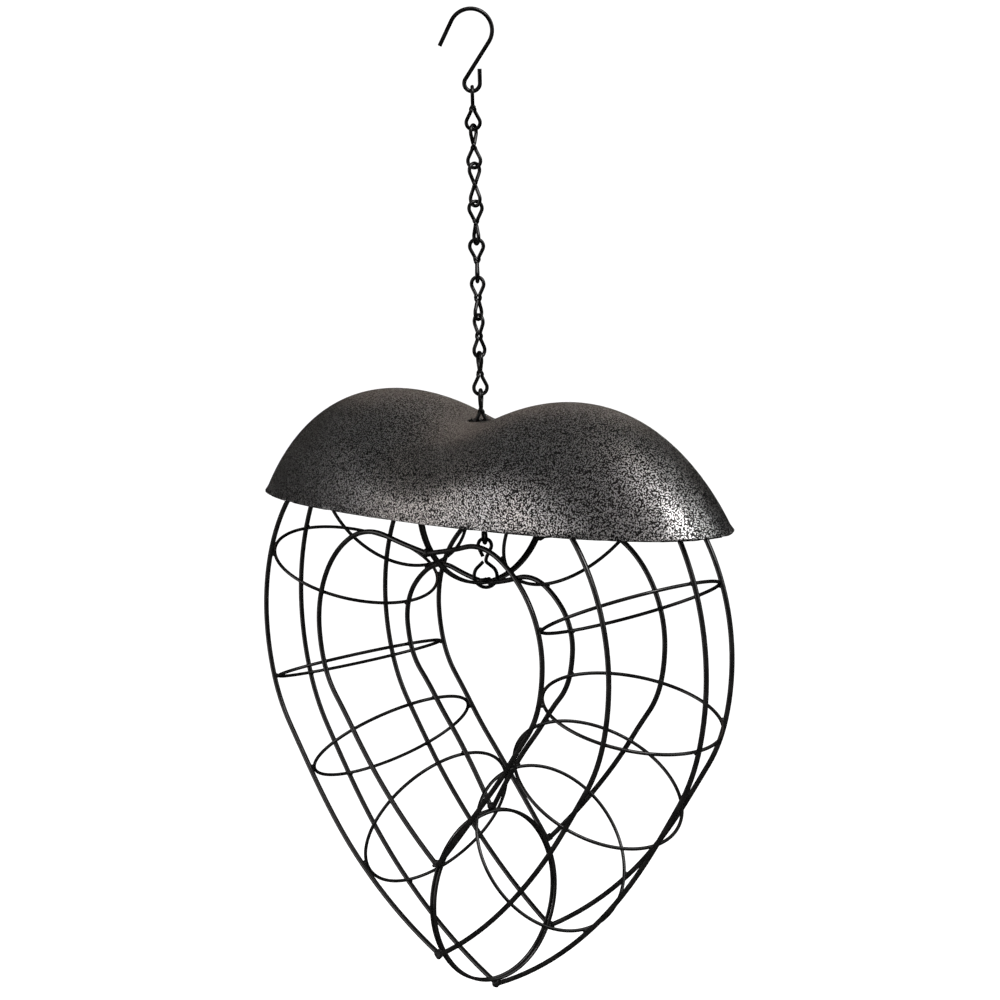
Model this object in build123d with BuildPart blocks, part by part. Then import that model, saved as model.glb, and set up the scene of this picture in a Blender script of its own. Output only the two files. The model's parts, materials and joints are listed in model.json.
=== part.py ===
"""Hanging heart-shaped suet feeder: wire cage, pressed lid, link chain and hook.

The origin is the point inside the top bend of the hook, where the feeder hangs
from a branch or a bracket. Millimetres, +Z up. The heart lies in the XZ plane.
"""
from build123d import *
from math import asin, atan2, cos, degrees, hypot, radians, sin, sqrt
import os

os.makedirs("parts", exist_ok=True)

# Wire stock
hook_wire = 1.8
link_wire = 1.6
hoop_wire = 1.5
long_wire = 2.2

# Hook, an S bent in one upright plane
hook_top_radius = 9.0
hook_eye_radius = 3.3
hook_bend_spacing = 22.0
hook_tail_length = 11.5
hook_tail_lean = 27.0
hook_eye_stub_length = 6.0

# Chain of twisted-loop links
link_count = 12
link_pitch = 16.0
link_loop_radius = 2.9
link_clearance = 0.3
link_strand_gap = 0.3
link_twist_height = 3.2
link_cut_gap = 0.5
link_first_azimuth = 140.0
link_turn = -23.5

# Open end link that hooks the cage
end_eye_radius = 5.0
end_eye_height = 12.2
end_cut_gap = 2.3
end_seat_clearance = 0.7

# Cage, as half cages mirrored left and right. Hoops stand along each arm, the
# first one under the lid. Their centres are shares of the arm's span and drop,
# and each lean is that of the hoop's outward radius above level.
hoop_radius = 37.5
arm_span = 91.0
arm_drop = 110.0
hoop_out_shares = (0.67, 1.0, 1.0, 0.76, 0.423)
hoop_up_shares = (0.318, -0.01, -0.405, -0.705, -1.0)
hoop_leans = (57.0, 21.0, -17.0, -35.0, -58.0)
pair_spacing = 2.2
neck_inset = 2.5
tip_inset = 3.0
tip_drop = 138.0
long_wire_count = 6
long_wire_end_length = 3.0
neck_lean = 8.0
cage_clearance = 0.2
weld_radius = 2.2

# Lid, a pressed sheet with two domes and a saddle, set by the hoops under it
lid_wall = 0.8
lid_end_overhang = 11.0
lid_side_overhang = 9.5
lid_rim_drop = 3.3
lid_crown_gap = 7.4
lid_saddle_radius = 64.0
lid_dome_share = 0.41
lid_plan_power = 2.2
lid_hole_radius = 6.0
lid_seat_clearance = 0.3
lid_stations = 21
lid_end_angle = 4.0
half_turn = 180.0

# Sizes that follow
hoop_seats = [(arm_span * out_share, arm_drop * up_share, lean) for out_share, up_share, lean
              in zip(hoop_out_shares, hoop_up_shares, hoop_leans)]
neck_radius = hoop_radius - neck_inset
tip_half_width = hoop_radius - tip_inset
tip_half_height = hoop_radius
lid_half_length = arm_span + hoop_radius + lid_end_overhang
lid_half_width = hoop_radius + lid_side_overhang
lid_rim_height = arm_drop * hoop_up_shares[0] - lid_rim_drop
lid_crown = lid_rim_drop + hoop_radius + lid_crown_gap
lid_dome_centre = lid_half_length * lid_dome_share
lid_dome_run = lid_half_length - lid_dome_centre
lid_dome_radius = (lid_dome_run**2 + lid_crown**2) / (2 * lid_crown)

# Levels, from the hang point down
eye_centre_z = -hook_bend_spacing - hook_top_radius + hook_wire / 2
first_pivot_z = eye_centre_z - hook_eye_radius
joint_rise = link_wire + link_clearance
last_pivot_z = first_pivot_z - link_count * link_pitch
link_length = link_pitch + joint_rise
link_half = link_length / 2
end_link_top_z = last_pivot_z + joint_rise
end_link_bottom_z = end_link_top_z - link_half - end_eye_height
neck_z = end_link_bottom_z + (link_wire + hoop_wire) / 2 + end_seat_clearance
long_offset = (hoop_wire + long_wire) / 2 + cage_clearance


def upright_plane(azimuth, height=0.0):
    """Plane through the Z axis, its own x axis level at the azimuth."""
    turn = radians(azimuth)
    return Plane(
        origin=(0, 0, height),
        x_dir=(cos(turn), sin(turn), 0),
        z_dir=(sin(turn), -cos(turn), 0),
    )


def across(path):
    """Plane square to the start of a path, for its wire section."""
    return Plane(origin=path @ 0, z_dir=path % 0)


def spot(azimuth, out, height):
    """Point at a distance out from the Z axis."""
    turn = radians(azimuth)
    return Vector(out * cos(turn), out * sin(turn), height)


def arc_pair(start, leave, end, arrive):
    """Two arcs that meet smoothly, from a point and direction to another."""
    chord = end - start
    spread = 2 * (1 - leave.dot(arrive))
    along = chord.dot(leave + arrive)
    reach = chord.dot(chord) / (along + sqrt(along**2 + spread * chord.dot(chord)))
    middle = (start + end + (leave - arrive) * reach) / 2
    first = TangentArc(start, middle, tangent=leave)
    TangentArc(middle, end, tangent=first % 1)


def loop_side(radius, centre_height, waist_out, waist_height):
    """Point where a straight strand from the waist meets a round loop."""
    rise = centre_height - waist_height
    reach = hypot(rise, waist_out)
    lean = asin(radius / reach) - atan2(waist_out, rise)
    return radius * cos(lean), centre_height - radius * sin(lean)


def hang(piece, name):
    """Label a finished piece and write its file."""
    piece.label = name
    export_step(piece, f"parts/{name}.step")


# Hook: a wide top bend for the branch and a small eye for the chain
bend_sum = hook_top_radius + hook_eye_radius
shank_lean = degrees(asin(bend_sum / hook_bend_spacing))
with BuildPart() as s_hook:
    with BuildLine(upright_plane(link_first_azimuth - 90, eye_centre_z)) as hook_line:
        top_bend = CenterArc((0, hook_bend_spacing), hook_top_radius, -shank_lean,
                             180 + shank_lean - hook_tail_lean)
        PolarLine(top_bend @ 1, hook_tail_length, direction=top_bend % 1)
        eye_bend = CenterArc((0, 0), hook_eye_radius, 180 - shank_lean, 180 + shank_lean)
        PolarLine(eye_bend @ 1, hook_eye_stub_length, direction=eye_bend % 1)
        Line(eye_bend @ 0, top_bend @ 0)
    hook_path = hook_line.wires()[0]
    with BuildSketch(across(hook_path)):
        Circle(hook_wire / 2)
    sweep(path=hook_path)
hang(s_hook.part, "s_hook")


# Chain link: one wire bent into two loops a quarter turn apart, its ends cut
# at the twisted waist
strand_out = (link_wire + link_strand_gap) / 2
twist_half = link_twist_height / 2
side_out, side_height = loop_side(link_loop_radius, link_half - link_loop_radius,
                                  strand_out, twist_half)
with BuildPart() as link:
    with BuildLine() as link_line:
        upper_end = spot(225, strand_out, link_cut_gap / 2)
        upper_waist = spot(180, strand_out, twist_half)
        upper_far = spot(180, side_out, side_height)
        upper_near = spot(0, side_out, side_height)
        near_waist = spot(0, strand_out, twist_half)
        lower_near_waist = spot(90, strand_out, -twist_half)
        lower_near = spot(90, side_out, -side_height)
        lower_far = spot(270, side_out, -side_height)
        lower_waist = spot(270, strand_out, -twist_half)
        lower_end = spot(225, strand_out, -link_cut_gap / 2)
        rising, falling = spot(135, 1, 1).normalized(), spot(135, 1, -1).normalized()
        far_up = Line(upper_waist, upper_far)
        arc_pair(upper_end, rising, upper_waist, far_up % 0)
        ThreePointArc(upper_far, spot(0, 0, link_half), upper_near)
        near_down = Line(upper_near, near_waist)
        cross_down = Line(lower_near_waist, lower_near)
        arc_pair(near_waist, near_down % 1, spot(45, strand_out, 0), falling)
        arc_pair(spot(45, strand_out, 0), falling, lower_near_waist, cross_down % 0)
        ThreePointArc(lower_near, spot(0, 0, -link_half), lower_far)
        far_back = Line(lower_far, lower_waist)
        arc_pair(lower_waist, far_back % 1, lower_end, rising)
    link_path = link_line.wires()[0]
    with BuildSketch(across(link_path)):
        Circle(link_wire / 2)
    sweep(path=link_path)

for number in range(link_count):
    azimuth = link_first_azimuth + link_turn * number
    middle_z = first_pivot_z + joint_rise - link_half - link_pitch * number
    placed = Location((0, 0, middle_z), (0, 0, azimuth)) * link.part
    hang(placed, f"chain_link_{number + 1:02d}")


# End link: both loops in one plane, the larger one sprung open for the cage
end_azimuth = link_first_azimuth + link_turn * link_count
eye_out, eye_side_height = loop_side(end_eye_radius, end_eye_height - end_eye_radius,
                                     strand_out, twist_half)
with BuildPart() as end_link:
    end_middle_z = end_link_top_z - link_half
    with BuildLine(upright_plane(end_azimuth, end_middle_z)) as end_line:
        Line((strand_out, end_cut_gap / 2), (side_out, side_height))
        ThreePointArc((side_out, side_height), (0, link_half), (-side_out, side_height))
        upper_side = Line((-side_out, side_height), (-strand_out, twist_half))
        lower_side = Line((-strand_out, -twist_half), (-eye_out, -eye_side_height))
        arc_pair(upper_side @ 1, upper_side % 1, lower_side @ 0, lower_side % 0)
        ThreePointArc((-eye_out, -eye_side_height), (0, -end_eye_height),
                      (eye_out, -eye_side_height))
        Line((eye_out, -eye_side_height), (strand_out, -end_cut_gap / 2))
    end_path = end_line.wires()[0]
    with BuildSketch(across(end_path)):
        Circle(link_wire / 2)
    sweep(path=end_path)
hang(end_link.part, "end_link")


# Lid: a thin pressed shell lofted through half-oval sections
dome_centre_z = lid_rim_height + lid_crown - lid_dome_radius
saddle_centre_z = dome_centre_z + sqrt(
    (lid_dome_radius + lid_saddle_radius) ** 2 - lid_dome_centre**2)
lid_saddle_height = saddle_centre_z - lid_saddle_radius


def ridge_height(out, wall):
    """Height of the lid's ridge above its rim at a distance from the middle."""
    dome = lid_dome_radius - wall
    saddle = lid_saddle_radius + wall
    if abs(out) < lid_dome_centre * saddle / (dome + saddle):
        level = saddle_centre_z - sqrt(saddle**2 - out**2)
    else:
        level = dome_centre_z + sqrt(dome**2 - (abs(out) - lid_dome_centre) ** 2)
    return level - lid_rim_height


def lid_half_width_at(out, wall):
    """Half width of the lid's oval plan at a distance from the middle."""
    share = abs(out) / (lid_half_length - wall)
    return (lid_half_width - wall) * (1 - share**lid_plan_power) ** (1 / lid_plan_power)


def lid_body(wall):
    """Solid under the lid's outer face, or under its inner face a wall in."""
    reach = lid_half_length - wall
    step = (half_turn - 2 * lid_end_angle) / (lid_stations - 1)
    with BuildPart() as body:
        for station in range(lid_stations):
            out = -reach * cos(radians(lid_end_angle + step * station))
            plane = Plane((out, 0, neck_z + lid_rim_height), x_dir=(0, 1, 0), z_dir=(1, 0, 0))
            with BuildSketch(plane):
                with BuildLine():
                    arch = EllipticalCenterArc((0, 0), lid_half_width_at(out, wall),
                                               ridge_height(out, wall),
                                               start_angle=0, arc_size=half_turn)
                    Line(arch @ 0, arch @ 1)
                make_face()
        loft()
    return body.part


with BuildPart() as lid:
    add(lid_body(0))
    add(lid_body(lid_wall), mode=Mode.SUBTRACT)
    with Locations((0, 0, neck_z + lid_saddle_height)):
        Cylinder(lid_hole_radius, lid_half_width, mode=Mode.SUBTRACT)
hang(lid.part, "lid")


# Cage: hoops inside, long wires laid over them
def hoop_plane(out, height, lean):
    """Plane of a hoop, its x axis along the hoop's outward radius."""
    turn = radians(lean)
    return Plane(
        origin=(out, 0, neck_z + height),
        x_dir=(cos(turn), 0, sin(turn)),
        z_dir=(-sin(turn), 0, cos(turn)),
    )


pair_out = pair_spacing / 2
saddle_inside = ridge_height(0, lid_wall)
arm_share = (neck_radius + hoop_wire / 2) / (lid_half_width - lid_wall)
neck_arm_top = (lid_rim_height + saddle_inside * sqrt(1 - arm_share**2)
                - 2 * lid_seat_clearance)

hoops = []
with BuildPart() as neck_hoop:
    with BuildLine(Plane((pair_out, 0, neck_z + neck_radius), x_dir=(0, 1, 0),
                         z_dir=(1, 0, 0))) as neck_line:
        bowl = CenterArc((0, 0), neck_radius, 180, 180)
        Line((-neck_radius, neck_arm_top - neck_radius), bowl @ 0)
        Line(bowl @ 1, (neck_radius, neck_arm_top - neck_radius))
    neck_path = neck_line.wires()[0]
    with BuildSketch(across(neck_path)):
        Circle(hoop_wire / 2)
    sweep(path=neck_path)
hoops.append(("neck_hoop", neck_hoop.part))

for number, seat in enumerate(hoop_seats):
    with BuildPart(hoop_plane(*seat)) as hoop:
        Torus(hoop_radius, hoop_wire / 2)
    hoops.append((f"hoop_{number + 1}", hoop.part))


def oval_point(plane, half_height, half_width, angle):
    """Point on an oval, at an angle from the plane's x axis."""
    turn = radians(angle)
    along = plane.x_dir * half_height * cos(turn)
    return plane.origin + along + plane.y_dir * half_width * sin(turn)


tip_plane = hoop_plane(pair_out, -tip_drop, -90)
corners = [oval_point(tip_plane, tip_half_height, tip_half_width, 90 * number)
           for number in range(6)]
with BuildPart() as tip_hoop:
    with BuildLine() as tip_line:
        for here, ahead, after in list(zip(corners, corners[1:], corners[2:])):
            arc_pair(here, (ahead - tip_plane.origin).normalized(),
                     ahead, (after - tip_plane.origin).normalized())
    tip_path = tip_line.wires()[0]
    with BuildSketch(across(tip_path)):
        Circle(hoop_wire / 2)
    sweep(path=tip_path)
hoops.append(("tip_hoop", tip_hoop.part))


def crossing(seat, angle, half_height=hoop_radius, half_width=hoop_radius):
    """Where a long wire crosses the outside of a hoop."""
    return oval_point(hoop_plane(*seat), half_height + long_offset,
                      half_width + long_offset, angle)


neck_seat = (pair_out, neck_radius, 90)
tip_seat = (pair_out, -tip_drop, -90)


def directions(points, leave):
    """Direction at each point, along the circle through its neighbours."""
    found = [leave]
    for before, here, after in zip(points, points[1:], points[2:]):
        back, ahead = here - before, after - here
        found.append((back / back.length**2 + ahead / ahead.length**2).normalized())
    chord = (points[-1] - points[-2]).normalized()
    found.append(chord * 2 * chord.dot(found[-1]) - found[-1])
    return found


def long_wire_path(angle):
    """Centre line of a long wire, from its top end down to the tip."""
    inward = (1 - cos(radians(angle))) / 2
    points = [crossing(seat, angle) for seat in hoop_seats]
    points.append(crossing(tip_seat, angle, tip_half_height, tip_half_width))
    lean = radians(neck_lean)
    leave = Vector(cos(lean), 0, sin(lean))
    if inward < 1 / 2:
        leave = -hoop_plane(*hoop_seats[0]).z_dir
    elif inward < 1:
        points.insert(0, crossing(neck_seat, angle, neck_radius, neck_radius))
    else:
        start = pair_out + hoop_wire / 2 + long_wire * leave.Z / 2 + cage_clearance
        points.insert(0, Vector(start, 0, neck_z))
    headings = directions(points, leave)
    with BuildLine() as line:
        if inward < 1 / 2:
            Line(points[0] - leave * long_wire_end_length, points[0])
        for number in range(len(points) - 1):
            arc_pair(points[number], headings[number], points[number + 1], headings[number + 1])
    return line.wires()[0]


wire_names = ("outer", "back_outer", "back_inner", "inner", "front_inner", "front_outer")
wire_angles = [360 / long_wire_count * number for number in range(long_wire_count)]
wires = []
for name, angle in zip(wire_names, wire_angles):
    path = long_wire_path(angle)
    with BuildPart() as long:
        with BuildSketch(across(path)):
            Circle(long_wire / 2)
        sweep(path=path)
    wires.append((f"{name}_wire", long.part))

for name, right in hoops + wires:
    with BuildPart() as left:
        mirror(right, about=Plane.YZ)
    hang(right, f"right_{name}")
    hang(left.part, f"left_{name}")


def welds(seat, half_height, half_width, angles):
    """Weld beads that join the two half cages on the middle plane."""
    with BuildPart() as beads:
        for angle in angles:
            middle = crossing(seat, angle, half_height, half_width)
            with Locations((0, middle.Y, middle.Z)):
                Sphere(weld_radius)
    return beads.part


neck_angles = [angle for angle in wire_angles if 90 < angle < 270 and angle != 180]
hang(welds(neck_seat, neck_radius, neck_radius, neck_angles), "neck_welds")
hang(welds(tip_seat, tip_half_height, tip_half_width, wire_angles), "tip_welds")
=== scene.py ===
"""Looks of a hanging suet feeder: heart-shaped wire cage, hammered lid, link chain and hook.

Metres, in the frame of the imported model: the hang point inside the hook is the origin, +Z is up and the heart
lies in the XZ plane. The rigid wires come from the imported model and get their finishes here. The lid, whose
hammered paint shows every facet, is modelled again at a finer mesh, and the weld beads get their lumps.
"""

import json
import logging
import math
from dataclasses import dataclass, field
from enum import Enum
from typing import Callable, Iterable, Iterator

import bpy
from mathutils import Matrix, Vector


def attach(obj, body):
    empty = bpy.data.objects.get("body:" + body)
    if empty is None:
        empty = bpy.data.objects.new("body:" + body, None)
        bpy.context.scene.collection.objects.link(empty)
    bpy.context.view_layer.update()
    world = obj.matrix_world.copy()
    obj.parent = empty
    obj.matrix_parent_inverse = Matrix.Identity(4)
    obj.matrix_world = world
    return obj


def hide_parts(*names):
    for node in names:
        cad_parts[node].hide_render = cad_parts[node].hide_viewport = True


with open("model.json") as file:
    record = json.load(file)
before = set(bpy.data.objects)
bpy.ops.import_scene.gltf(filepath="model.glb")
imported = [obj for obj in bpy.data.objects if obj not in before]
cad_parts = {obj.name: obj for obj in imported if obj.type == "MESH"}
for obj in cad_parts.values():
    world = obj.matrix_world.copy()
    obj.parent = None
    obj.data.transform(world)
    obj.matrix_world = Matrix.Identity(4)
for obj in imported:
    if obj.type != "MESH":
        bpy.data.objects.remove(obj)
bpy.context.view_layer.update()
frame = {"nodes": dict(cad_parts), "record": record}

LOG = logging.getLogger("suet_feeder")
Colour = tuple[float, float, float, float]


def grey(level: float, warmth: float = 0.0) -> Colour:
    """A grey of that level, a little warmer where warmth is over zero."""
    return (level * (1 + warmth), level, level * (1 - warmth), 1.0)


def bearing(azimuth: float, elevation: float) -> Vector:
    """Unit vector from the feeder towards a camera or lamp.

    Args:
        azimuth: degrees round the feeder, from -Y towards +X.
        elevation: degrees above level.

    Returns:
        The vector.
    """
    turn, tilt = math.radians(azimuth), math.radians(elevation)
    return Vector((math.sin(turn) * math.cos(tilt), -math.cos(turn) * math.cos(tilt), math.sin(tilt)))


class Signal:
    """A value on its way through a material, which takes Python's own operators."""

    def __init__(self, bench: "ShaderBench", socket: bpy.types.NodeSocket) -> None:
        """Wraps one output socket of a node on the bench."""
        self.bench = bench
        self.socket = socket

    def _maths(self, operation: str, first: "Signal | float", second: "Signal | float") -> "Signal":
        """Adds one Math node with that operation and these operands, and returns its result."""
        return self.bench.node("ShaderNodeMath", {"operation": operation}, {0: first, 1: second})

    def __add__(self, other: "Signal | float") -> "Signal":
        """self + other."""
        return self._maths("ADD", self, other)

    def __radd__(self, other: float) -> "Signal":
        """other + self."""
        return self._maths("ADD", other, self)

    def __sub__(self, other: "Signal | float") -> "Signal":
        """self - other."""
        return self._maths("SUBTRACT", self, other)

    def __rsub__(self, other: float) -> "Signal":
        """other - self."""
        return self._maths("SUBTRACT", other, self)

    def __mul__(self, other: "Signal | float") -> "Signal":
        """self * other."""
        return self._maths("MULTIPLY", self, other)

    def __rmul__(self, other: float) -> "Signal":
        """other * self."""
        return self._maths("MULTIPLY", other, self)

    def span(self, low: float, high: float) -> "Signal":
        """Goes smoothly from 0 to 1 as this value goes from low to high, and stays there outside.

        Args:
            low: value that gives 0.
            high: value that gives 1.

        Returns:
            The mapped value.
        """
        return self.bench.node(
            "ShaderNodeMapRange", {"interpolation_type": "SMOOTHSTEP"},
            {"Value": self, "From Min": low, "From Max": high})

    def between(self, start: float, end: float) -> "Signal":
        """Goes straight from start to end as this value goes from 0 to 1."""
        return self * (end - start) + start


class ShaderBench:
    """One material's node tree and the few ways that this script adds to it."""

    # The Mix node has a socket of each name for every type of data, so its colour sockets go by number.
    MIX_SHARE, MIX_FIRST, MIX_SECOND, MIX_RESULT = 0, 6, 7, 2

    def __init__(self, name: str) -> None:
        """Starts an empty material.

        Args:
            name: the material's name.
        """
        self.material = bpy.data.materials.new(name)
        self.material.use_nodes = True
        self.tree = self.material.node_tree
        self.tree.nodes.clear()

    def node(self, kind: str, settings: dict[str, object] | None = None,
             inputs: dict[str | int, "Signal | float | Colour"] | None = None,
             output: str | int = 0) -> Signal:
        """Adds a node of any kind.

        Args:
            kind: the node's type.
            settings: its own settings, set before the inputs.
            inputs: values or links by socket name or number.
            output: the socket that is passed on.

        Returns:
            That output.
        """
        made = self.tree.nodes.new(kind)
        for key, value in (settings or {}).items():
            setattr(made, key, value)
        for key, value in (inputs or {}).items():
            if isinstance(value, Signal):
                self.tree.links.new(value.socket, made.inputs[key])
            else:
                made.inputs[key].default_value = value
        return Signal(self, made.outputs[output])

    def place(self) -> Signal:
        """The point of the surface in the object's own coordinates."""
        return self.node("ShaderNodeTexCoord", output="Object")

    def noise(self, scale: float, detail: float = 2.0, roughness: float = 0.5) -> Signal:
        """Cloudy noise.

        Args:
            scale: how many clouds there are to a metre.
            detail: octaves.
            roughness: how strong the finer octaves are.

        Returns:
            A value near 0.5, between 0 and 1.
        """
        return self.node("ShaderNodeTexNoise", {}, {
            "Vector": self.place(), "Scale": scale, "Detail": detail, "Roughness": roughness})

    def cells(self, scale: float, blur: float) -> Signal:
        """Distances from the middles of scattered cells.

        Args:
            scale: how many cells there are to a metre.
            blur: how softly one cell runs into the next.

        Returns:
            A value that is 0 in the middle of a cell.
        """
        return self.node("ShaderNodeTexVoronoi", {"feature": "SMOOTH_F1"}, {
            "Vector": self.place(), "Scale": scale, "Smoothness": blur})

    def mix(self, share: "Signal | float", first: "Signal | Colour", second: "Signal | Colour") -> Signal:
        """Mixes two colours.

        Args:
            share: 0 for the first colour, 1 for the second.
            first: the first colour.
            second: the second colour.

        Returns:
            The mixed colour.
        """
        return self.node("ShaderNodeMix", {"data_type": "RGBA"}, {
            self.MIX_SHARE: share, self.MIX_FIRST: first, self.MIX_SECOND: second}, self.MIX_RESULT)

    def bump(self, height: Signal, depth: float, strength: float) -> Signal:
        """A normal that follows a height.

        Args:
            height: the height, 0 to 1.
            depth: how many metres a height of 1 stands for.
            strength: how strongly it shows.

        Returns:
            The normal.
        """
        return self.node("ShaderNodeBump", {}, {
            "Height": height, "Distance": depth, "Strength": strength}, "Normal")

    def finish(self, inputs: dict[str, "Signal | float | Colour"]) -> bpy.types.Material:
        """Closes the tree with the surface shader.

        Args:
            inputs: the shader's inputs.

        Returns:
            The finished material.
        """
        shader = self.node("ShaderNodeBsdfPrincipled", {}, inputs, "BSDF")
        end = self.tree.nodes.new("ShaderNodeOutputMaterial")
        self.tree.links.new(shader.socket, end.inputs["Surface"])
        return self.material


@dataclass(frozen=True)
class HammeredPaint:
    """Hammer paint: silver islands in dark veins, with a clear gloss over both.

    The edges are the levels of noise over which one colour gives way to the next. Metal and roughness are
    given for the veins and then for the islands.
    """

    name: str = "hammered_paint"
    vein: Colour = grey(0.004, 0.10)
    silver: Colour = grey(0.52, 0.04)
    cool_silver: Colour = grey(0.46)
    tint_scale: float = 16.0
    tint_edge: tuple[float, float] = (0.35, 0.65)
    grain_scale: float = 1950.0
    grain_detail: float = 1.5
    grain_share: float = 0.8
    cell_scale: float = 1500.0
    cell_blur: float = 0.5
    cell_reach: float = 0.75
    cell_share: float = 0.35
    island_edge: tuple[float, float] = (0.49, 0.56)
    metal: tuple[float, float] = (0.92, 0.99)
    roughness: tuple[float, float] = (0.38, 0.32)
    relief: float = 0.00015
    relief_strength: float = 0.9
    gloss: float = 0.12
    gloss_roughness: float = 0.28

    def make(self) -> bpy.types.Material:
        """Builds the material.

        Returns:
            The material.
        """
        bench = ShaderBench(self.name)
        grains = bench.noise(self.grain_scale, self.grain_detail) * self.grain_share
        middles = (self.cell_reach - bench.cells(self.cell_scale, self.cell_blur)) * self.cell_share
        islands = (grains + middles).span(*self.island_edge)
        tint = bench.noise(self.tint_scale).span(*self.tint_edge)
        return bench.finish({
            "Base Color": bench.mix(islands, self.vein, bench.mix(tint, self.silver, self.cool_silver)),
            "Metallic": islands.between(*self.metal),
            "Roughness": islands.between(*self.roughness),
            "Normal": bench.bump(islands, self.relief, self.relief_strength),
            "Coat Weight": self.gloss,
            "Coat Roughness": self.gloss_roughness,
        })


@dataclass(frozen=True)
class PowderCoat:
    """Satin black coat on wire, with a fine orange peel and a little uneven gloss."""

    name: str
    base: Colour = grey(0.0038, 0.02)
    worn: Colour = grey(0.0070, 0.06)
    shine: float = 0.32
    smoothest: float = 0.14
    worn_roughness: float = 0.14
    worn_scale: float = 140.0
    worn_detail: float = 3.0
    worn_fineness: float = 0.6
    worn_edge: tuple[float, float] = (0.38, 0.70)
    peel_roughness: float = 0.08
    peel_scale: float = 1500.0
    peel_depth: float = 0.00004
    peel_strength: float = 0.3

    def make(self) -> bpy.types.Material:
        """Builds the material.

        Returns:
            The material.
        """
        bench = ShaderBench(self.name)
        wear = bench.noise(self.worn_scale, self.worn_detail, self.worn_fineness).span(*self.worn_edge)
        peel = bench.noise(self.peel_scale)
        return bench.finish({
            "Base Color": bench.mix(wear, self.base, self.worn),
            "Roughness": wear * self.worn_roughness + peel * self.peel_roughness + self.smoothest,
            "Metallic": 0.0,
            "Specular IOR Level": self.shine,
            "Normal": bench.bump(peel, self.peel_depth, self.peel_strength),
        })


@dataclass(frozen=True)
class PaleFloor:
    """Pale matt studio floor, a little uneven."""

    name: str = "pale_floor"
    light: Colour = grey(0.97)
    shade: Colour = grey(0.95)
    cloud_scale: float = 1.3
    roughness: float = 0.9

    def make(self) -> bpy.types.Material:
        """Builds the material.

        Returns:
            The material.
        """
        bench = ShaderBench(self.name)
        return bench.finish({
            "Base Color": bench.mix(bench.noise(self.cloud_scale), self.light, self.shade),
            "Roughness": self.roughness,
            "Specular IOR Level": 0.0,
        })


class Slot(Enum):
    """The record's material slots."""

    HANGING_WIRE = "hanging_wire"
    CAGE_WIRE = "cage_wire"
    WELD = "weld"
    LID_SHEET = "lid_sheet"


def only(*pieces: bpy.types.Object) -> None:
    """Selects these pieces and nothing else.

    Args:
        pieces: the pieces, of which the first one becomes active.
    """
    bpy.ops.object.select_all(action="DESELECT")
    for piece in pieces:
        piece.select_set(True)
    bpy.context.view_layer.objects.active = pieces[0]


def settle(piece: bpy.types.Object) -> None:
    """Moves a piece's place, turn and size into its mesh."""
    only(piece)
    bpy.ops.object.transform_apply(location=True, rotation=True, scale=True)


def pick(piece: bpy.types.Object, wanted: Callable[[Vector], bool]) -> None:
    """Selects a mesh's vertices by their place, from within edit mode.

    Args:
        piece: the piece in edit mode.
        wanted: takes a vertex's place and says whether it is wanted.
    """
    bpy.ops.mesh.select_mode(type="VERT")
    bpy.ops.mesh.select_all(action="DESELECT")
    bpy.ops.object.mode_set(mode="OBJECT")
    for vertex in piece.data.vertices:
        vertex.select = wanted(vertex.co)
    bpy.ops.object.mode_set(mode="EDIT")


def cut(place: tuple[float, float, float], normal: tuple[float, float, float], drop: bool = False) -> None:
    """Cuts the whole mesh along a plane, from within edit mode.

    Args:
        place: a point of the plane.
        normal: the plane's normal.
        drop: whether the part behind the plane is taken away.
    """
    bpy.ops.mesh.select_all(action="SELECT")
    bpy.ops.mesh.bisect(plane_co=place, plane_no=normal, clear_inner=drop)


def apply_all(piece: bpy.types.Object) -> None:
    """Applies a piece's modifiers in order.

    Args:
        piece: the piece.
    """
    only(piece)
    for modifier in list(piece.modifiers):
        bpy.ops.object.modifier_apply(modifier=modifier.name)


def dress(piece: bpy.types.Object, material: bpy.types.Material) -> None:
    """Gives a piece one material all over."""
    piece.data.materials.clear()
    piece.data.materials.append(material)


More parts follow.
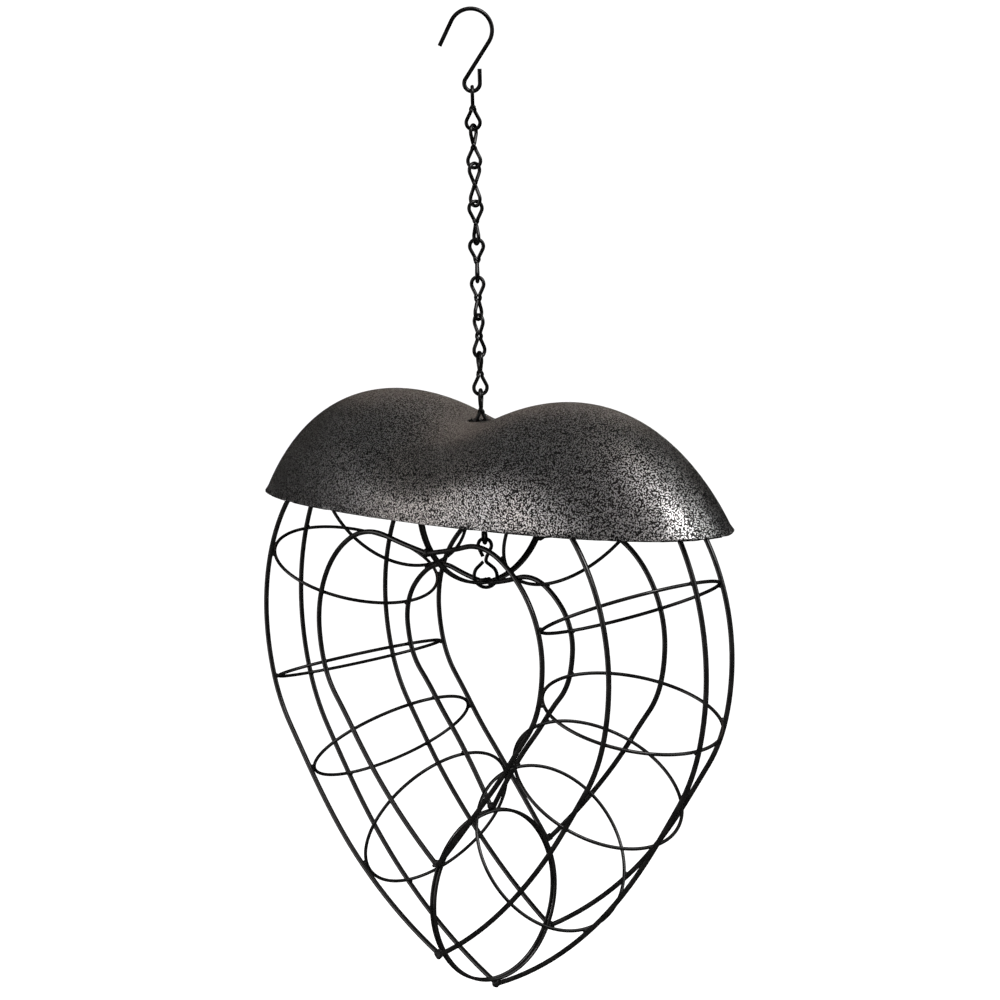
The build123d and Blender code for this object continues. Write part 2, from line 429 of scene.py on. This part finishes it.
@dataclass
class PressedLid:
    """The lid: a sheet pressed into two domes with a saddle between them, and a hole for the chain.

    The rake is how far the arch leans in where it leaves the rim, which grows towards the lid's ends, and the
    lip is a narrow flare along the rim.
    """

    wall: float = 0.0008
    half_length: float = 0.1395
    half_width: float = 0.047
    plan_power: float = 2.2
    rim_z: float = -0.21072
    crown: float = 0.0482
    dome_share: float = 0.41
    saddle_radius: float = 0.064
    end_rake: float = 55.0
    rake_power: float = 3.0
    lip_height: float = 0.0030
    lip_out: float = 0.0007
    hole_radius: float = 0.006
    hole_sides: int = 64
    punch_length: float = 0.03
    stations: int = 96
    arch_faces: int = 72
    edge: float = 0.00028
    edge_steps: int = 3
    edge_angle: float = 55.0
    smooth_angle: float = 40.0
    near: float = 1e-5
    merge: float = 2e-5

    def ridge(self, out: float) -> float:
        """Height of the ridge over the rim at a distance from the middle.

        Args:
            out: distance from the middle, along the lid.

        Returns:
            The height of the dome's arc or, near the middle, of the saddle's arc that joins the two domes.
        """
        centre = self.half_length * self.dome_share
        dome = ((self.half_length - centre) ** 2 + self.crown ** 2) / (2 * self.crown)
        if abs(out) < centre * self.saddle_radius / (dome + self.saddle_radius):
            rise = math.sqrt((dome + self.saddle_radius) ** 2 - centre ** 2)
            return self.crown - dome + rise - math.sqrt(self.saddle_radius ** 2 - out ** 2)
        return self.crown - dome + math.sqrt(dome ** 2 - (abs(out) - centre) ** 2)

    def half_width_at(self, out: float) -> float:
        """Half width of the oval plan at a distance from the middle."""
        share = abs(out) / self.half_length
        return self.half_width * (1 - share ** self.plan_power) ** (1 / self.plan_power)

    def rake(self, out: float) -> float:
        """Angle, in radians, that the arch starts above its springing: none mid-lid, most at the ends."""
        return math.radians(self.end_rake) * (abs(out) / self.half_length) ** self.rake_power

    def rings(self) -> Iterator[float]:
        """Distances of the rings from the middle, closer together towards the ends."""
        for number in range(1, self.stations):
            yield -self.half_length * math.cos(math.pi * number / self.stations)

    def tube(self) -> bpy.types.Object:
        """Adds a plain tube along X, level with the rim, and cuts it into rings.

        Returns:
            The tube, in edit mode.
        """
        bpy.ops.object.select_all(action="DESELECT")
        bpy.ops.mesh.primitive_cylinder_add(
            vertices=2 * self.arch_faces, radius=1.0, depth=2 * self.half_length,
            end_fill_type="NOTHING", location=(0, 0, self.rim_z), rotation=(0, math.pi / 2, 0))
        piece = bpy.context.object
        piece.name = "hammered_lid"
        settle(piece)
        bpy.ops.object.mode_set(mode="EDIT")
        for out in self.rings():
            cut((out, 0, self.rim_z), (1, 0, 0))
        return piece

    def draw(self, piece: bpy.types.Object, out: float, width: float, height: float) -> None:
        """Draws one ring of the tube to size.

        Args:
            piece: the tube, in edit mode.
            out: the ring's distance from the middle.
            width: its new half width.
            height: its new half height.
        """
        pick(piece, lambda place: abs(place.x - out) < self.near)
        bpy.ops.transform.resize(value=(1, width, height), center_override=(out, 0, self.rim_z))

    def press(self, piece: bpy.types.Object) -> None:
        """Draws the tube's rings to the arch and closes its ends to points.

        Args:
            piece: the tube, in edit mode.
        """
        for out in self.rings():
            start = self.rake(out)
            height = self.ridge(out) / (1 - math.sin(start))
            self.draw(piece, out, self.half_width_at(out) / math.cos(start), height)
            bpy.ops.transform.translate(value=(0, 0, -height * math.sin(start)))
        for end in (-self.half_length, self.half_length):
            self.draw(piece, end, 0, 0)

    def trim(self, piece: bpy.types.Object) -> None:
        """Cuts the tube off level at the rim, flares the lip and cleans the mesh.

        Args:
            piece: the tube, in edit mode, which leaves it here.
        """
        cut((0, 0, self.rim_z), (0, 0, 1), drop=True)
        cut((0, 0, self.rim_z + self.lip_height), (0, 0, 1))
        pick(piece, lambda place: place.z < self.rim_z + self.near)
        bpy.ops.transform.resize(
            value=(1 + self.lip_out / self.half_length, 1 + self.lip_out / self.half_width, 1),
            center_override=(0, 0, self.rim_z))
        bpy.ops.mesh.select_all(action="SELECT")
        bpy.ops.mesh.remove_doubles(threshold=self.merge)
        bpy.ops.mesh.normals_make_consistent(inside=False)
        bpy.ops.object.mode_set(mode="OBJECT")

    def thicken(self, piece: bpy.types.Object) -> None:
        """Gives the sheet its wall, inwards.

        Args:
            piece: the sheet.
        """
        sheet = piece.modifiers.new("wall", "SOLIDIFY")
        sheet.thickness = self.wall
        sheet.offset = -1
        apply_all(piece)

    def pierce(self, piece: bpy.types.Object) -> None:
        """Punches the chain's hole through the saddle.

        Args:
            piece: the lid.
        """
        bpy.ops.object.select_all(action="DESELECT")
        bpy.ops.mesh.primitive_cylinder_add(
            vertices=self.hole_sides, radius=self.hole_radius, depth=self.punch_length,
            location=(0, 0, self.rim_z + self.ridge(0)))
        punch = bpy.context.object
        settle(punch)
        hole = piece.modifiers.new("hole", "BOOLEAN")
        hole.operation = "DIFFERENCE"
        hole.solver = "EXACT"
        hole.object = punch
        apply_all(piece)
        bpy.data.objects.remove(punch)

    def soften(self, piece: bpy.types.Object) -> None:
        """Rounds the cut edges and shades the rest smooth.

        Args:
            piece: the lid.
        """
        soft = piece.modifiers.new("edge", "BEVEL")
        soft.width = self.edge
        soft.segments = self.edge_steps
        soft.limit_method = "ANGLE"
        soft.angle_limit = math.radians(self.edge_angle)
        apply_all(piece)
        only(piece)
        bpy.ops.object.shade_smooth_by_angle(angle=math.radians(self.smooth_angle))

    def fit(self, finish: bpy.types.Material) -> None:
        """Builds the lid, dresses it and puts it on its body.

        Args:
            finish: its material.
        """
        piece = self.tube()
        for step in (self.press, self.trim, self.thicken, self.pierce, self.soften):
            step(piece)
        dress(piece, finish)
        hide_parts("lid")
        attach(piece, "lid")
        LOG.info("lid: %d faces", len(piece.data.polygons))


@dataclass(frozen=True)
class HoopSeat:
    """Where a hoop stands: out from the middle, up from the neck, and the lean of its outward radius."""

    out: float
    up: float
    lean: float

    def point(self, neck_z: float, angle: float, along: float, aside: float) -> Vector:
        """A point beside the hoop.

        Args:
            neck_z: height of the neck.
            angle: angle round the hoop from its outward radius, in degrees.
            along: distance in the direction of the outward radius.
            aside: distance square to it.

        Returns:
            The point.
        """
        lean, turn = math.radians(self.lean), math.radians(angle)
        reach = along * math.cos(turn)
        return Vector((self.out + reach * math.cos(lean), aside * math.sin(turn),
                       neck_z + self.up + reach * math.sin(lean)))


@dataclass(frozen=True)
class Bead:
    """A kind of weld bead: a ball of metal, uneven by a share of its radius, that melted a little smooth."""

    radius: float
    ripple: float
    cuts: int = 3
    sideways: float = 0.3
    outwards: float = 0.7
    melt: float = 0.5
    melts: int = 2

    def lump(self, centre: Vector, seed: int) -> bpy.types.Object:
        """Makes one bead.

        Args:
            centre: its middle.
            seed: what makes it unlike the others.

        Returns:
            The bead.
        """
        bpy.ops.object.select_all(action="DESELECT")
        bpy.ops.mesh.primitive_ico_sphere_add(subdivisions=self.cuts, radius=self.radius, location=centre)
        piece = bpy.context.object
        settle(piece)
        bpy.ops.object.mode_set(mode="EDIT")
        bpy.ops.mesh.select_all(action="SELECT")
        bpy.ops.transform.vertex_random(
            offset=self.radius * self.ripple, uniform=self.sideways, normal=self.outwards, seed=seed)
        bpy.ops.mesh.vertices_smooth(factor=self.melt, repeat=self.melts)
        bpy.ops.object.mode_set(mode="OBJECT")
        only(piece)
        bpy.ops.object.shade_smooth()
        return piece

    def row(self, name: str, spots: Iterable[Vector]) -> bpy.types.Object:
        """Makes a bead at each spot and joins them into one piece.

        Args:
            name: the piece's name.
            spots: the beads' middles.

        Returns:
            The piece.
        """
        only(*[self.lump(spot, seed) for seed, spot in enumerate(spots)])
        bpy.ops.object.join()
        piece = bpy.context.object
        piece.name = name
        settle(piece)
        return piece


@dataclass
class CageWelds:
    """Weld metal of the cage: small dabs at each crossing, a run at the neck, and beads between the halves."""

    neck_z: float = -0.2424
    hoop_radius: float = 0.0375
    hoop_wire: float = 0.0015
    long_wire: float = 0.0022
    gap: float = 0.0002
    neck_radius: float = 0.035
    neck_angles: tuple[float, ...] = (120.0, 240.0)
    seam_angles: tuple[float, ...] = (177.5, 180.0, 182.5)
    seam_lift: float = 0.0007
    tip_half_width: float = 0.0345
    tip_up: float = -0.138
    wires: int = 6
    dab: Bead = Bead(0.00115, 0.25)
    seam_bead: Bead = Bead(0.0014, 0.25)
    joint_bead: Bead = Bead(0.0020, 0.55)
    seats: tuple[HoopSeat, ...] = (
        HoopSeat(0.06097, 0.03498, 57), HoopSeat(0.091, -0.0011, 21), HoopSeat(0.091, -0.04455, -17),
        HoopSeat(0.06916, -0.07755, -35), HoopSeat(0.038493, -0.110, -58))

    def neck(self) -> HoopSeat:
        """Where the neck hoops stand."""
        return HoopSeat(0.0, self.neck_radius, 90)

    def wire_angles(self) -> list[float]:
        """Angles of the long wires round a hoop, in degrees."""
        return [360 * number / self.wires for number in range(self.wires)]

    def spots(self, seat: HoopSeat, angles: Iterable[float], along: float, aside: float) -> list[Vector]:
        """Points beside a hoop at these angles, as far along and aside as HoopSeat.point takes them."""
        return [seat.point(self.neck_z, angle, along, aside) for angle in angles]

    def crossings(self) -> Iterator[Vector]:
        """Middles of the dabs where long wires cross the hoops.

        Returns:
            Each middle of the right half, followed by its mirror image in the left half.
        """
        reach = self.hoop_radius + self.hoop_wire / 2 + self.gap / 2
        for seat in self.seats:
            for spot in self.spots(seat, self.wire_angles(), reach, reach):
                yield spot
                yield Vector((-spot.x, spot.y, spot.z))

    def seam(self) -> list[Vector]:
        """Middles of the run of weld that joins the two neck hoops at their lowest point."""
        reach = self.neck_radius - self.seam_lift
        return self.spots(self.neck(), self.seam_angles, reach, reach)

    def joints(self) -> dict[str, list[Vector]]:
        """Middles of the beads between the half cages.

        Returns:
            The middles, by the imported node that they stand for.
        """
        lift = self.hoop_wire / 2 + self.long_wire / 2 + self.gap
        tip = HoopSeat(0.0, self.tip_up, -90)
        round_neck = self.neck_radius + lift
        return {
            "tip_welds": self.spots(
                tip, self.wire_angles(), self.hoop_radius + lift, self.tip_half_width + lift),
            "neck_welds": self.spots(self.neck(), self.neck_angles, round_neck, round_neck),
        }

    def fit(self, finish: bpy.types.Material) -> None:
        """Builds the beads and dabs, dresses them and puts them on the cage.

        Args:
            finish: their material.
        """
        pieces = [self.dab.row("crossing_welds", self.crossings()),
                  self.seam_bead.row("neck_seam_weld", self.seam())]
        for node, spots in self.joints().items():
            pieces.append(self.joint_bead.row(node.replace("welds", "weld_beads"), spots))
            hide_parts(node)
        for piece in pieces:
            dress(piece, finish)
            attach(piece, "cage")
            LOG.info("%s: %d faces", piece.name, len(piece.data.polygons))


@dataclass
class WireWork:
    """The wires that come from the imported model: hook, chain, end link and cage."""

    coats: dict[Slot, bpy.types.Material]
    dressed: list[str] = field(default_factory=list)

    def fit(self) -> None:
        """Gives each wire node the coat of its slot."""
        slots = {part["node"]: part["material_slot"] for part in frame["record"]["subparts"]}
        for name, node in frame["nodes"].items():
            slot = Slot(slots[name])
            if slot in self.coats:
                dress(node, self.coats[slot])
                self.dressed.append(name)
        LOG.info("wires dressed: %d", len(self.dressed))


@dataclass(frozen=True)
class PhotoCamera:
    """The photograph's camera, from a fit to the hoops."""

    azimuth: float = 49.67
    elevation: float = 7.41
    roll: float = -1.54
    focal_share: float = 2.8786
    sensor: float = 36.0
    nearest: float = 0.01
    farthest: float = 60.0
    place: tuple[float, float, float] = (0.9366, -0.7859, -0.0480)

    def fit(self) -> None:
        """Adds the camera and makes it the scene's."""
        turn, roll = math.radians(self.azimuth), math.radians(self.roll)
        back = bearing(self.azimuth, self.elevation)
        level = Vector((math.cos(turn), math.sin(turn), 0))
        right = level * math.cos(roll) + back.cross(level) * math.sin(roll)
        axes = Matrix((right, back.cross(right), back)).transposed()
        data = bpy.data.cameras.new("photo_camera")
        data.sensor_width = self.sensor
        data.lens = self.focal_share * self.sensor
        data.clip_start, data.clip_end = self.nearest, self.farthest
        camera = bpy.data.objects.new("photo_camera", data)
        camera.matrix_world = Matrix.Translation(self.place) @ axes.to_4x4()
        bpy.context.scene.collection.objects.link(camera)
        bpy.context.scene.camera = camera


@dataclass(frozen=True)
class SoftLight:
    """One round soft box, seen by the paint but not by the camera. Radiance is how bright its face is."""

    name: str
    azimuth: float
    elevation: float
    radiance: float
    colour: tuple[float, float, float] = (1.0, 1.0, 1.0)
    size: float = 1.2
    distance: float = 1.6
    aim: tuple[float, float, float] = (0.0, 0.0, -0.20)

    def fit(self) -> None:
        """Hangs the soft box, turned to its aim."""
        away = bearing(self.azimuth, self.elevation)
        data = bpy.data.lights.new(self.name, "AREA")
        data.shape = "DISK"
        data.size = self.size
        data.color = self.colour
        data.energy = self.radiance * math.pi * (math.pi * self.size ** 2 / 4)
        lamp = bpy.data.objects.new(self.name, data)
        lamp.location = Vector(self.aim) + away * self.distance
        lamp.rotation_mode = "QUATERNION"
        lamp.rotation_quaternion = away.to_track_quat("Z", "Y")
        lamp.visible_camera = False
        bpy.context.scene.collection.objects.link(lamp)


@dataclass
class Studio:
    """Pale floor, pale surroundings and soft boxes."""

    floor_z: float = -0.85
    floor_radius: float = 25.0
    floor_sides: int = 96
    surround: Colour = grey(1.0)
    surround_strength: float = 1.13
    lights: tuple[SoftLight, ...] = (
        SoftLight("side_box", 122.0, 30.0, 2.7, (0.99, 1.01, 1.0)),
        SoftLight("front_box", -30.0, 5.0, 2.7, (1.03, 0.985, 0.985)),
        SoftLight("spark_box", 82.0, 46.0, 18.0, size=0.6),
        SoftLight("high_box", 70.0, 60.0, 2.0, (1.05, 0.98, 0.97)),
        SoftLight("fill_box", 30.0, 40.0, 0.42, (1.08, 0.96, 0.96)),
        SoftLight("rear_box", 150.0, 50.0, 0.38),
        SoftLight("back_box", -130.0, 30.0, 0.22, (1.2, 0.97, 0.83)),
    )

    def lay_floor(self) -> None:
        """Lays the floor, which the paint doesn't mirror."""
        bpy.ops.object.select_all(action="DESELECT")
        bpy.ops.mesh.primitive_circle_add(
            vertices=self.floor_sides, radius=self.floor_radius, fill_type="NGON", location=(0, 0, self.floor_z))
        floor = bpy.context.object
        floor.name = "studio_floor"
        settle(floor)
        dress(floor, PaleFloor().make())
        floor.visible_glossy = False

    def paint_surround(self) -> None:
        """Paints the surroundings, which light the feeder but aren't mirrored in it."""
        world = bpy.data.worlds.new("studio")
        world.use_nodes = True
        sky = world.node_tree.nodes["Background"]
        sky.inputs["Color"].default_value = self.surround
        sky.inputs["Strength"].default_value = self.surround_strength
        world.cycles_visibility.glossy = False
        bpy.context.scene.world = world
        bpy.context.scene.view_settings.view_transform = "Standard"

    def fit(self) -> None:
        """Lays the floor, hangs the soft boxes and paints the surroundings."""
        self.lay_floor()
        for light in self.lights:
            light.fit()
        self.paint_surround()


def main() -> None:
    """Builds the scene piece by piece."""
    logging.basicConfig(level=logging.INFO, format="%(name)s %(message)s")
    cage_coat = PowderCoat("cage_coat").make()
    chain_coat = PowderCoat(
        "chain_coat", base=grey(0.001), worn=grey(0.003, 0.05), shine=0.26, worn_scale=220.0).make()
    weld_coat = PowderCoat("weld_coat", smoothest=0.40, peel_scale=900.0, peel_depth=0.00012).make()
    WireWork({Slot.HANGING_WIRE: chain_coat, Slot.CAGE_WIRE: cage_coat}).fit()
    PressedLid().fit(HammeredPaint().make())
    CageWelds().fit(weld_coat)
    PhotoCamera().fit()
    Studio().fit()


if __name__ == "__main__":
    main()
